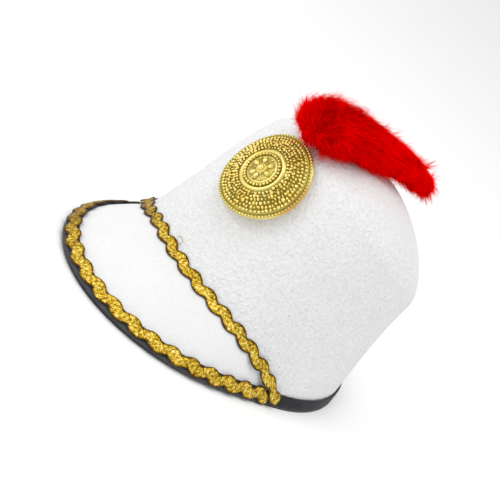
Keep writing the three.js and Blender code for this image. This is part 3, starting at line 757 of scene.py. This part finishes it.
def build_braid(name, node, braid, seed, strands=16, rounded=0.0):
    rng = np.random.default_rng(seed)

    def taper(at):
        """Narrows the ends so that they are rounded off, where the real braid is folded under."""
        if not rounded:
            return 1.0 + 0.0 * at
        x = np.clip((np.abs(at - braid.length / 2) - (braid.length / 2 - rounded)) / rounded, 0, 1)
        return np.sqrt(np.maximum(1 - x**2, 0.02))

    # plaited lame yarns: each crosses from edge to edge, over one and under the next
    pitch = 12.4
    step = 0.55
    m = int(braid.length / step) + 1
    s = np.linspace(0.0, braid.length, m)[None].repeat(strands, 0)
    phase = (s / pitch + np.arange(strands)[:, None] / strands) % 1.0
    right = phase < 0.5
    u = np.where(right, 4.0 * phase - 1.0, 3.0 - 4.0 * phase)
    u_soft = np.sin(np.clip(u, -1, 1) * math.pi / 2 * 0.94) / math.sin(math.pi / 2 * 0.94)
    cross = np.cos(2 * math.pi * strands * phase) * np.where(right, 1.0, -1.0)
    height = 0.58 + 0.17 * cross * (1 - np.abs(u) ** 8) - 0.16 * np.abs(u) ** 4 + 0.42 * (1 - u_soft**2)
    wob = 0.07 * noise(np.stack([s, np.arange(strands)[:, None] * 7.0 + 0 * s, 0 * s], -1), 2.2, seed)
    half = ((braid.WIDTH / 2 - 0.42) * u_soft + wob) * taper(s)
    P, N = braid.place(s, half, height)
    fat = 0.43 + 0.05 * noise(np.stack([s, np.arange(strands)[:, None] * 3.0 + 0 * s, 5 + 0 * s], -1), 1.6, seed + 1)
    V, faces = tubes(P, N, fat, 0.27, 6)
    # each yarn's own tone, then painted shade along both edges and a painted darker reflection on the wearer's right
    groups = 0.5 + 0.5 * np.cos(np.arange(strands) * math.pi / 2 + 0.4)
    tone_and_painted_shade = (0.35 * rng.random(strands) + 0.40 * groups)[:, None] + 0.35 * (noise(P, 3.0, seed + 2) * 0.5 + 0.5)
    tone_and_painted_shade = tone_and_painted_shade - 1.1 * smooth((np.abs(half) / (braid.WIDTH / 2) - 0.62) / 0.3) - 0.35 * smooth((-10.0 - P[..., 0]) / 50.0)
    tone_and_painted_shade = np.repeat(tone_and_painted_shade[..., None], 6, 2)
    yarn = make_object(name + "_yarns", V, faces, LAME, [node], attributes={"tone_and_painted_shade": tone_and_painted_shade})
    # a dark under-layer, painted shade that shows between the yarns and along both edges
    steps = int(braid.length / 0.8)
    s2 = np.linspace(0.0, braid.length, steps)[:, None]
    across = np.array([-1, -0.55, 0, 0.55, 1, 1, 0.55, 0, -0.55, -1.0])[None]
    lift = np.array([0.04, 0.02, 0.02, 0.02, 0.04, 0.42, 0.52, 0.52, 0.52, 0.42])[None]
    P2, _ = braid.place(s2 + 0 * across, across * (braid.WIDTH / 2 - 0.08) * taper(s2), lift + 0 * s2)
    k = across.shape[1]
    ends = [np.arange(k)[::-1][None], (np.arange(k) + (steps - 1) * k)[None]]
    core = make_object(
        name + "_painted_shade_layer", P2.reshape(-1, 3), [grid_faces(steps, k, True)] + ends, BRAID_SHADE_LAYER,
    )
    return yarn, core


OVER_BINDING = GAP + BIND_THICK + 0.45


def build_braids():
    peak_line = Braid(67.0, 15.2, 0.16, lambda phi: 5.6 + 0 * phi, lambda phi, d: OVER_BINDING + 0 * d)
    join_line = Braid(
        71.5,
        14.7,
        0.53,
        lambda phi: join_at(phi) - 0.6,
        lambda phi, d: 0.6 + (OVER_BINDING - 0.6) * smooth((BIND_WIDTH + 7 - d) / 6)
        + (Braid.THICK + 0.5) * smooth((np.abs(phi) - rad(48.0)) / rad(5.0)),
    )
    build_braid("peak_braid", "peak_braid", peak_line, 501, rounded=2.0)
    build_braid("join_braid", "join_braid", join_line, 601, rounded=3.2)
    return peak_line, join_line


def build_loose_yarn():
    """A short end of yarn that has worked loose from the join's braid."""
    u = np.linspace(0.0, 1.0, 26)
    phi = rad(-2.5) + rad(1.6) * np.sin(u * 5.2) - rad(1.0) * u
    d = join_at(phi) + 3.9 + 5.0 * np.sin(u * math.pi * 0.8)
    lift = 0.9 + 1.6 * np.sin(u * math.pi) + 0.3 * np.sin(u * 9.0)
    normal = surface_normal(phi, d, 4.0)
    P = surface(phi, d) + normal * lift[:, None]
    V, faces = tubes(P[None], normal[None], 0.17, 0.17, 6)
    return make_object("loose_yarn", V, faces, LAME, attributes={"tone_and_painted_shade": np.full(len(V), 0.2)})


# ================================================================= badge
BADGE_BEND = 105.0
BADGE_FRONT = np.array(
    [
        (31.4, 0.3), (31.6, 1.2), (30.6, 2.2), (28.9, 2.6), (25.5, 3.6), (19.4, 5.6),
        (14.6, 7.2), (13.4, 6.6), (9.9, 7.2), (7.2, 8.0), (3.0, 8.8), (0.0, 9.6),
    ]
)
BADGE_SCALE = 31.6 / 33.4  # the relief below is drawn on a plate of radius 33.4


def badge_frame():
    centre = crown_point(0.0, 72.7)
    out = crown_normal(np.array(0.0), np.array(72.7))
    up = unit(crown_point(0.0, 84.7) - crown_point(0.0, 60.7))
    out = unit(out - up * (out @ up))
    centre = centre - 3.3 * unit(np.cross(up, out))
    a = rad(-6.9)
    out = out * math.cos(a) + np.cross(up, out) * math.sin(a)
    right = unit(np.cross(up, out))
    t = rad(5.0)
    up, out = up * math.cos(t) - out * math.sin(t), out * math.cos(t) + up * math.sin(t)
    r, k = np.meshgrid(np.arange(0, 32, 3), np.arange(24), indexing="ij")
    x, y = r * np.cos(k * math.pi / 12), r * np.sin(k * math.pi / 12)
    back = centre + right * x[..., None] + up * y[..., None] - out * (x * x / (2 * BADGE_BEND))[..., None]
    least = clearance(back)[0].min()
    return centre + out * (0.6 - least), out, up, right


BADGE_CENTRE, BADGE_OUT, BADGE_UP, BADGE_RIGHT = badge_frame()


def on_badge(x, y, h):
    return (
        BADGE_CENTRE
        + BADGE_RIGHT * x[..., None]
        + BADGE_UP * y[..., None]
        + BADGE_OUT * (h - x * x / (2 * BADGE_BEND))[..., None]
    )


def badge_height(r):
    order = np.argsort(BADGE_FRONT[:, 0])
    return np.interp(r * BADGE_SCALE, BADGE_FRONT[order, 0], BADGE_FRONT[order, 1])


def dome(x, y, h, a, b, c, turn, rings=4, sides=8):
    """A bead: a half ellipsoid a by b across and c high on the plate, turned in its plane."""
    t = np.arange(rings) / rings * math.pi / 2
    k = np.arange(sides) * 2 * math.pi / sides
    rr, zz = np.cos(t)[:, None], np.sin(t)[:, None]
    px, py = a * rr * np.cos(k)[None], b * rr * np.sin(k)[None]
    qx = x + px * math.cos(turn) - py * math.sin(turn)
    qy = y + px * math.sin(turn) + py * math.cos(turn)
    qh = h + c * zz + 0 * px - 0.25 * (zz == 0)
    pts = np.stack([qx, qy, qh], -1).reshape(-1, 3)
    pts = np.vstack([pts, [[x, y, h + c]]])
    low = np.concatenate([np.repeat(1.0 - np.sin(t), sides), [0.0]])
    quads = grid_faces(rings, sides, True)
    j = np.arange(sides)
    tris = np.stack([(rings - 1) * sides + j, (rings - 1) * sides + (j + 1) % sides, np.full(sides, rings * sides)], -1)
    return pts, quads, tris, low


def build_badge():
    rng = np.random.default_rng(77)
    sides = 168
    # plate: radius, height over the middle surface, how dark the recess is
    profile = [
        (8.0, 0.0, 0.0, False), (20.0, 0.0, 0.0, False), (32.6, 0.05, 0.0, False), (33.2, 0.3, 0.1, False), (33.45, 0.8, 0.1, False),
        (33.3, 1.4, 0.2, False), (32.6, 1.75, 0.7, False), (31.6, 1.85, 0.9, False), (30.9, 2.0, 1.0, False),
        (30.4, 2.35, 0.6, False), (29.9, 2.2, 0.9, False), (28.0, 2.7, 1.0, False), (26.8, 3.15, 1.0, False),
        (25.3, 3.5, 1.0, False), (24.7, 3.7, 1.0, False), (24.2, 3.8, 1.0, False), (23.7, 4.0, 1.0, False),
        (22.0, 4.5, 1.0, False), (20.3, 4.95, 1.0, False), (18.0, 5.5, 1.0, False), (16.6, 5.9, 0.8, False),
        (16.0, 6.4, 0.3, False), (15.3, 6.75, 0.0, False), (14.6, 6.8, 0.0, False), (14.0, 6.5, 0.2, False),
        (13.6, 6.1, 0.9, False), (12.2, 6.1, 1.0, False), (11.0, 6.3, 0.9, False), (10.5, 6.7, 0.3, False),
        (10.0, 6.8, 0.3, False), (9.5, 6.7, 0.8, False), (7.5, 7.0, 0.7, False), (4.6, 7.4, 0.9, False),
        (3.7, 7.8, 0.6, False), (3.3, 8.25, 0.2, False), (2.8, 8.3, 0.3, False), (2.3, 8.2, 0.7, False),
    ]
    k = np.arange(sides) * 2 * math.pi / sides
    pts, rec = [], []
    for r, h, dark, _ in profile:
        pts.append(np.stack([r * np.cos(k), r * np.sin(k), np.full(sides, h)], -1))
        rec.append(np.full(sides, dark))
    pts = [np.vstack(pts)]
    rec = [np.concatenate(rec)]
    faces4 = [grid_faces(len(profile), sides, True)]
    faces3, ngons = [], [np.arange(sides)[::-1][None], (np.arange(sides) + (len(profile) - 1) * sides)[None]]
    at = len(pts[0])

    def add(piece):
        nonlocal at
        p, q, t, low = piece
        pts.append(p)
        faces4.append(q + at)
        faces3.append(t + at)
        rec.append(np.clip((low - 0.25) * 1.1, 0, 1))
        at += len(p)

    def ring(r, count, a, b, c, slant=0.0, jitter=0.0, every=None, phase=0.0, sink=0.0, rings=4, around=8):
        for i in range(count):
            ang = 2 * math.pi * (i + phase) / count + jitter * rng.normal() * 0.012
            rr = r + jitter * rng.normal() * 0.26
            scale = 1.0 + np.clip(jitter * rng.normal() * 0.20, -0.45, 0.45)
            if every and i % every[0] == 0:
                scale *= every[1]
            h = badge_height(rr) - sink
            oval = np.clip(jitter * rng.normal() * 0.16, -0.35, 0.35)
            turn = ang + slant + jitter * rng.normal() * 0.5
            add(dome(rr * math.cos(ang), rr * math.sin(ang), h - 0.55, a * scale * (1 + oval), b * scale * (1 - oval), c * scale, turn, rings, around))

    ring(32.3, 88, 0.95, 0.80, 0.85, slant=0.7, sink=0.2)  # rope rim
    ring(29.3, 68, 1.25, 1.25, 1.50, jitter=0.4, sink=0.35)
    ring(26.8, 66, 1.25, 1.18, 1.50, jitter=0.8, sink=0.30)
    ring(24.4, 62, 1.22, 1.10, 1.50, jitter=1.0, sink=0.30, phase=0.3)
    ring(22.1, 58, 1.25, 0.95, 1.50, jitter=1.0, sink=0.30)
    ring(20.0, 52, 1.12, 1.05, 1.40, jitter=1.0, sink=0.25, phase=0.4)
    ring(18.0, 46, 1.05, 1.05, 1.30, jitter=0.9, sink=0.2, phase=0.5)
    ring(12.2, 32, 1.12, 1.12, 1.40, sink=0.05, jitter=0.4)
    # rosette: six petals, each with its own raised middle, beads between them, and a boss
    for i in range(6):
        ang = 2 * math.pi * (i + 0.12 * rng.normal()) / 6
        add(dome(6.3 * math.cos(ang), 6.3 * math.sin(ang), 6.9, 2.7, 1.9, 1.9, ang, 5, 12))
        add(dome(7.4 * math.cos(ang), 7.4 * math.sin(ang), 8.3, 1.0, 0.8, 0.7, ang, 4, 8))
        ang += math.pi / 6
        add(dome(8.8 * math.cos(ang), 8.8 * math.sin(ang), 6.8, 0.95, 0.8, 1.2, ang, 4, 8))
        add(dome(4.6 * math.cos(ang), 4.6 * math.sin(ang), 7.4, 0.7, 0.5, 0.9, ang, 4, 8))
    add(dome(0.0, 0.0, 7.7, 2.6, 2.5, 2.5, 0.0, 7, 20))

    flat = np.vstack(pts)
    # pressed thin metal: nothing is perfectly true
    flat[:, 2] += 0.05 * noise(flat * np.array([1, 1, 0]) + 50, 6.0, 71)
    world = on_badge(flat[:, 0] * BADGE_SCALE, flat[:, 1] * BADGE_SCALE, flat[:, 2])
    return make_object(
        "badge_plate", world, [np.vstack(faces4), np.vstack(faces3)] + ngons, PLATE, ["badge"],
        attributes={
            "recess": np.concatenate(rec),
            # painted reflection: more orange towards the right rim
            "right_rim_reflection": smooth((flat[:, 0] * 0.97 + flat[:, 1] * 0.2 - 28.0) / 3.5),
        },
    )


# ================================================================= plume
PLUME = np.array(
    [
        (-1.6, -80.8, 146.6, 4.0), (-3.1, -78.7, 151.1, 12.5), (-4.8, -70.3, 156.2, 17.0), (0.9, -56.2, 160.1, 17.0),
        (4.7, -33.6, 161.1, 14.5), (6.8, -7.5, 159.5, 12.5), (5.9, 20.0, 157.0, 10.0), (6.9, 36.5, 154.5, 7.0),
        (11.3, 48.0, 152.3, 3.0),
    ]
)


def plume_line(t):
    """The plume's middle line and radius at t from 0 to 1."""
    t = np.clip(np.asarray(t, float), 0.0, 1.0)
    pts = PLUME[:, :3]
    n = len(pts)
    x = t * (n - 1)
    i = np.minimum(np.floor(x).astype(int), n - 2)
    w = x - i
    ext = np.vstack([2 * pts[0] - pts[1], pts, 2 * pts[-1] - pts[-2]])
    p0, p1, p2, p3 = ext[i], ext[i + 1], ext[i + 2], ext[i + 3]
    dt0 = np.power(((p0 - p1) ** 2).sum(-1), 0.25)[..., None]
    dt1 = np.power(((p1 - p2) ** 2).sum(-1), 0.25)[..., None]
    dt2 = np.power(((p2 - p3) ** 2).sum(-1), 0.25)[..., None]
    t1 = ((p1 - p0) / dt0 - (p2 - p0) / (dt0 + dt1) + (p2 - p1) / dt1) * dt1
    t2 = ((p2 - p1) / dt1 - (p3 - p1) / (dt1 + dt2) + (p3 - p2) / dt2) * dt1
    u = w[..., None]
    c2, c3 = -3 * p1 + 3 * p2 - 2 * t1 - t2, 2 * p1 - 2 * p2 + t1 + t2
    point = p1 + t1 * u + c2 * u * u + c3 * u**3
    ahead = unit(t1 + 2 * c2 * u + 3 * c3 * u * u)
    r = PLUME[i, 3] + (PLUME[i + 1, 3] - PLUME[i, 3]) * w
    side = unit(np.cross(np.broadcast_to([0.0, 0.0, 1.0], ahead.shape), ahead))
    over = unit(np.cross(ahead, side))
    return point, ahead, side, over, r


def ribbons(P, S, width, vee=0.0):
    """Barbs: strips through P (k, m, 3), wide along S. With vee, each has a raised middle like a barb with its barbules."""
    k, m, _ = P.shape
    w = width[..., None] / 2
    if vee:
        T = unit(np.gradient(P, axis=1))
        up = unit(np.cross(S, T))
        V = np.stack([P - S * w, P + up * w * vee, P + S * w], 2)
    else:
        V = np.stack([P - S * w, P + S * w], 2)
    c = V.shape[2]
    base = grid_faces(m, c)
    quads = (base[None] + (np.arange(k) * m * c)[:, None, None]).reshape(-1, 4)
    return V.reshape(-1, 3), quads, c


def build_plume():
    rng = np.random.default_rng(909)

    def form(t, theta, rho):
        c, ahead, side, over, r = plume_line(t)
        return c + (side * np.cos(theta)[..., None] + over * np.sin(theta)[..., None]) * (r * rho)[..., None], ahead, r

    # soft dark middle, so that no felt shows through; its darker red is painted shade inside the plume
    ts, ks = np.linspace(0.0, 1.0, 60), np.arange(48) * 2 * math.pi / 48
    T, K = np.meshgrid(ts, ks, indexing="ij")
    p, _, r = form(T, K, np.full(T.shape, 0.74))
    bump = 1.6 * noise(p, 9.0, 81) + 0.7 * noise(p, 3.5, 82)
    c, _, _, _, _ = plume_line(T)
    p = p + unit(p - c + 1e-6) * (bump * smooth(r / 10.0))[..., None]
    p = push_out(p, 0.9)
    ends = [np.arange(48)[::-1][None], (np.arange(48) + 59 * 48)[None]]
    make_object(
        "plume_heart", p.reshape(-1, 3), [grid_faces(60, 48, True)] + ends, PLUME_SHADE_CORE,
        attributes={"tone_and_painted_shade": np.full(60 * 48, 0.4)},
    )

    def barbs(count, m, reach, width, rho0, rho1, vee, lift_gap, wild):
        t0 = rng.random(count) ** 1.05 * 1.02 - 0.06
        theta = rng.random(count) * 2 * math.pi
        length = rng.uniform(*reach, count) / 138.0
        start = rng.uniform(*rho0, count)
        end = rng.uniform(*rho1, count)
        twist = rng.normal(0, 0.22 + 0.2 * wild, count)
        u = np.linspace(0.0, 1.0, m)[None]
        t = t0[:, None] + length[:, None] * u**1.25
        over = np.maximum(t - 1.0, 0.0)
        rho = start[:, None] + (end - start)[:, None] * (1 - (1 - u) ** 1.9)
        th = theta[:, None] + twist[:, None] * u + 0.10 * np.sin(u * 5 + theta[:, None] * 9)
        P, ahead, r = form(np.clip(t, 0, 1), th, rho)
        P = P + ahead * (over * 138.0)[..., None] * rng.uniform(0.12, 0.72, (count, 1, 1))
        P = P - ahead * (np.maximum(-t, 0.0) * 138.0)[..., None] * 0.5
        # clumps sweep together, and the ends lift and wander
        sway = np.stack([noise(P, 11.0, 91), noise(P, 11.0, 92), noise(P, 11.0, 93)], -1)
        P = P + sway * (2.6 * u**1.2)[..., None] * (1 + wild)
        own = rng.normal(0, 1, (count, 1, 3))
        P = P + own * (u**2)[..., None] * (1.1 + 1.6 * wild)
        P[..., 2] -= (u**2) * 1.2
        # a ragged crest at the head, and a broad hanging brush at the tail
        up = np.clip(np.sin(theta), 0, 1)[:, None] * u * smooth((0.40 - t) / 0.22)
        P = P + up[..., None] * np.array([-2.0, -2.2, 5.2])
        far = np.clip(np.cos(theta), 0, 1)[:, None] * u * smooth((0.36 - t) / 0.2)
        P = P + far[..., None] * np.array([-2.7, -1.4, 1.2])
        tail = smooth((t - 0.62) / 0.3) * u
        low = np.clip(-np.sin(theta) - 0.5 * np.cos(theta), 0, 1)[:, None] * tail
        P = P + low[..., None] * np.array([2.5, -5.0, -4.5])
        P = push_out(P, lift_gap)
        T = unit(np.gradient(P, axis=1))
        centre, _, _, _, _ = plume_line(np.clip(t, 0, 1))
        radial = unit(P - centre + 1e-6)
        S = unit(np.cross(T, radial) + 0.35 * rng.normal(0, 1, (count, 1, 3)))
        taper = np.power(np.maximum(1 - u, 0.0), 0.7) * np.minimum(1, 0.35 + 3 * u) + 0.05
        w = rng.uniform(*width, count)[:, None] * taper
        V, quads, c = ribbons(P, S, w, vee)
        # each barb's own random tone and broad noise, lighter towards the tail, and painted shade that darkens it
        # towards its root inside the plume
        tone_and_painted_shade = rng.random(count)[:, None] * 0.35 + 0.25 * u + 0.15 + 0.5 * noise(P, 14.0, 94) + 0.40 * smooth((t - 0.35) / 0.4) - 0.1
        return V, quads, np.repeat(np.clip(tone_and_painted_shade, 0, 1)[..., None], c, 2)

    def tufts(count, strands):
        """Wisps that stand off the outline: strands from one root that part towards their ends."""
        m = 5
        u = np.linspace(0.0, 1.0, m)[None]
        t = rng.random(count)
        theta = rng.random(count) * 2 * math.pi
        root, ahead, r = form(t, theta, np.full(count, 0.72))
        middle, _, _, _, _ = plume_line(t)
        radial = unit(root - middle + 1e-6)
        lean = np.where(t < 0.3, -0.15, 0.75) + 0.35 * rng.normal(0, 1, count)
        way = unit(radial + ahead * lean[:, None] + 0.35 * rng.normal(0, 1, (count, 3)))
        hang = np.clip(-0.8 * np.cos(theta) - 0.5 * np.sin(theta), 0, 1) * (t > 0.25)
        length = (0.30 * r + rng.gamma(3.0, 1.5, count)) * np.where(t < 0.3, 1.0 + 0.6 * np.clip(np.sin(theta), 0, 1), 0.85) * (1 + 0.9 * hang)
        way = unit(way + hang[:, None] * np.array([0.5, 0.0, -0.5]))
        length = np.minimum(length, 11.5 + rng.normal(0, 0.6, count))
        way = np.repeat(way, strands, 0)
        P0 = np.repeat(root, strands, 0) + rng.normal(0, 0.5, (count * strands, 3))
        own = unit(way + 0.22 * rng.normal(0, 1, way.shape))
        long = np.repeat(length, strands) * rng.uniform(0.55, 1.1, count * strands)
        P = P0[:, None] + own[:, None] * (long[:, None] * u)[..., None]
        bend = np.repeat(rng.normal(0, 1, (count, 3)), strands, 0) + 0.7 * rng.normal(0, 1, way.shape)
        P = P + bend[:, None] * (u**2)[..., None] * 1.1
        P[..., 2] -= (u**2) * 0.8
        P = push_out(P, 0.6)
        T = unit(np.gradient(P, axis=1))
        S = unit(np.cross(T, rng.normal(0, 1, (count * strands, 1, 3))))
        w = rng.uniform(0.22, 0.50, count * strands)[:, None] * (np.power(np.maximum(1 - u, 0.0), 0.6) + 0.06)
        V, quads, c = ribbons(P, S, w, 0.0)
        # each wisp's own random tone, and painted shade that darkens it towards its root
        tone_and_painted_shade = np.clip(rng.random(count * strands)[:, None] * 0.5 + 0.3 + 0.2 * u, 0, 1)
        return V, quads, np.repeat(tone_and_painted_shade[..., None], c, 2)

    V, q, tone_and_painted_shade = barbs(5200, 5, (14.0, 30.0), (0.80, 1.50), (0.15, 0.6), (0.82, 1.03), 0.5, 0.9, 0.0)
    make_object("plume_barbs", V, [q], BARBS, ["plume"], attributes={"tone_and_painted_shade": tone_and_painted_shade})
    V, q, tone_and_painted_shade = barbs(6500, 5, (12.0, 30.0), (0.22, 0.50), (0.3, 0.8), (0.88, 1.12), 0.0, 0.7, 0.55)
    make_object("plume_down", V, [q], DOWN, attributes={"tone_and_painted_shade": tone_and_painted_shade})
    V, q, tone_and_painted_shade = tufts(330, 13)
    make_object("plume_wisps", V, [q], DOWN, attributes={"tone_and_painted_shade": tone_and_painted_shade})


# ================================================================= camera, floor and light
def build_stage():
    size = 60.0
    floor, nt, shader, co = new_material("pale_floor")
    grain = noise_node(nt, co, 300.0, 2.0, 0.5)
    nt.links.new(ramp_node(nt, grain, [(0.3, (0.93, 0.93, 0.93)), (0.7, (0.94, 0.94, 0.94))]), shader.inputs["Base Color"])
    constants(shader, Roughness=0.9, Specular_IOR_Level=0.1)
    make_object(
        "floor", np.array([(-size, -size, 0), (size, -size, 0), (size, size, 0), (-size, size, 0)], float),
        [np.array([[0, 1, 2, 3]])], floor, stage=True,
    )
    world = bpy.data.worlds.new("studio")
    bpy.context.scene.world = world
    world.use_nodes = True
    world.node_tree.nodes["Background"].inputs["Color"].default_value = (1.0, 1.0, 1.0, 1.0)
    world.node_tree.nodes["Background"].inputs["Strength"].default_value = 0.86

    def area(name, place, target, size, power):
        light = bpy.data.lights.new(name, "AREA")
        light.shape = "DISK"
        light.size = size
        light.energy = power
        obj = bpy.data.objects.new(name, light)
        direction = np.asarray(target, float) - np.asarray(place, float)
        z = unit(-direction)
        x = unit(np.cross([0.0, 0.0, 1.0], z))
        y = np.cross(z, x)
        obj.matrix_world = Matrix([[x[k], y[k], z[k], place[k]] for k in range(3)] + [[0, 0, 0, 1]])
        bpy.context.scene.collection.objects.link(obj)

    area("key_light", (-0.75, -1.45, 0.85), (0.0, 0.0, 0.06), 0.9, 6.0)
    area("top_light", (0.1, -0.2, 2.0), (0.0, 0.0, 0.0), 1.6, 12.0)

    camera = bpy.data.cameras.new("camera")
    camera.sensor_width = 36.0
    camera.lens = 101.2407
    camera.clip_start, camera.clip_end = 0.05, 200.0
    obj = bpy.data.objects.new("camera", camera)
    x = unit(np.array([0.47917798, 0.59133761, 0.64862031]))
    z = np.array([0.50995287, -0.78902861, 0.34261046])
    z = unit(z - x * (x @ z))
    y = np.cross(z, x)
    place = np.array([0.47656096 + MOVE_X * MM, -0.77942594 + MOVE_Y * MM, 0.37375441])
    obj.matrix_world = Matrix([[x[k], y[k], z[k], place[k]] for k in range(3)] + [[0, 0, 0, 1]])
    bpy.context.scene.collection.objects.link(obj)
    bpy.context.scene.camera = obj
    bpy.context.scene.view_settings.view_transform = "Standard"


build_stage()
build_crown()
build_peak()
build_binding()
build_stitches()
build_braids()
build_loose_yarn()
build_badge()
build_plume()
